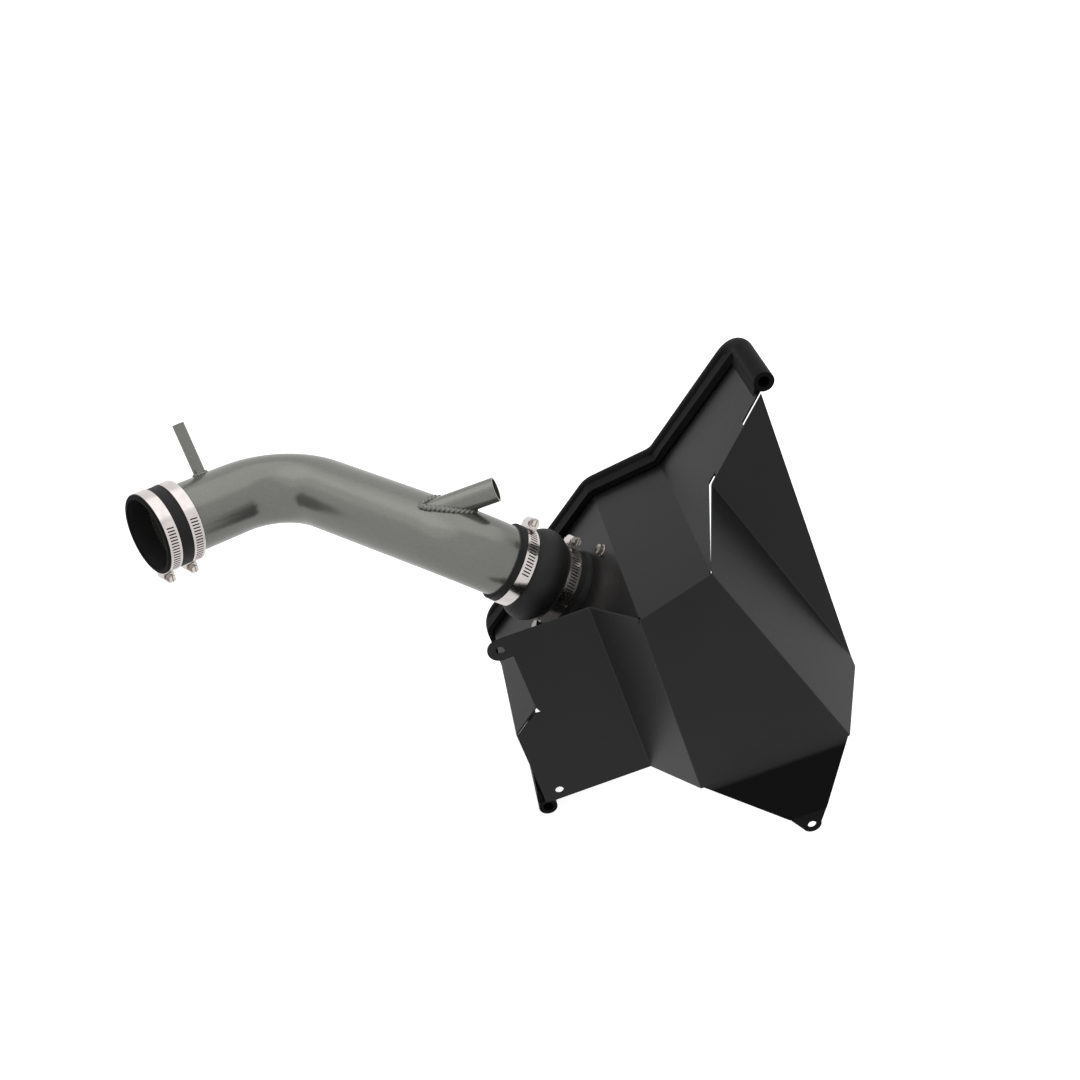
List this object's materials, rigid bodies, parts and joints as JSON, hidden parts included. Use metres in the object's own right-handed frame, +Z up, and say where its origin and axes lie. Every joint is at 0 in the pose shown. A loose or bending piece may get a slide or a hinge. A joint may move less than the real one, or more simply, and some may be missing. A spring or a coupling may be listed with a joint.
{
  "type": "cold air intake pipe",
  "caption": "Bent intake pipe with rubber couplers, worm-drive clamps and two small ports, joined to a folded sheet heat shield with a hollow rubber edge trim",
  "frame": {"origin": "centre of the throttle-end mouth of the rubber sleeve", "axes": "+X runs across towards the heat shield, +Y runs away from the side with the shield's front panels, +Z is up as the part lies in the picture; the tab holes run along Y"},
  "size_m": [0.7433, 0.373, 0.4925],
  "materials": {
    "pipe_coat": "textured satin grey powder coat",
    "rubber": "matt moulded rubber",
    "clamp_steel": "bright rolled stainless band",
    "screw_steel": "bright plated",
    "adapter_plastic": "satin moulded plastic",
    "shield_coat": "satin black powder coat",
    "trim_rubber": "soft foamed rubber"
  },
  "bodies": {
    "root": {"intake_pipe": "pipe_coat", "vacuum_port": "pipe_coat", "breather_port": "pipe_coat", "vacuum_weld": "pipe_coat", "breather_weld": "pipe_coat", "throttle_sleeve": "rubber", "hump_coupler": "rubber", "clamp_1_band": "clamp_steel", "clamp_1_housing": "clamp_steel", "clamp_1_screw": "screw_steel", "clamp_2_band": "clamp_steel", "clamp_2_housing": "clamp_steel", "clamp_2_screw": "screw_steel", "clamp_3_band": "clamp_steel", "clamp_3_housing": "clamp_steel", "clamp_3_screw": "screw_steel", "clamp_4_band": "clamp_steel", "clamp_4_housing": "clamp_steel", "clamp_4_screw": "screw_steel", "filter_adapter": "adapter_plastic", "adapter_bolts": "screw_steel", "adapter_nuts": "screw_steel", "heat_shield": "shield_coat", "edge_trim": "trim_rubber"}
  },
  "joints": []
}
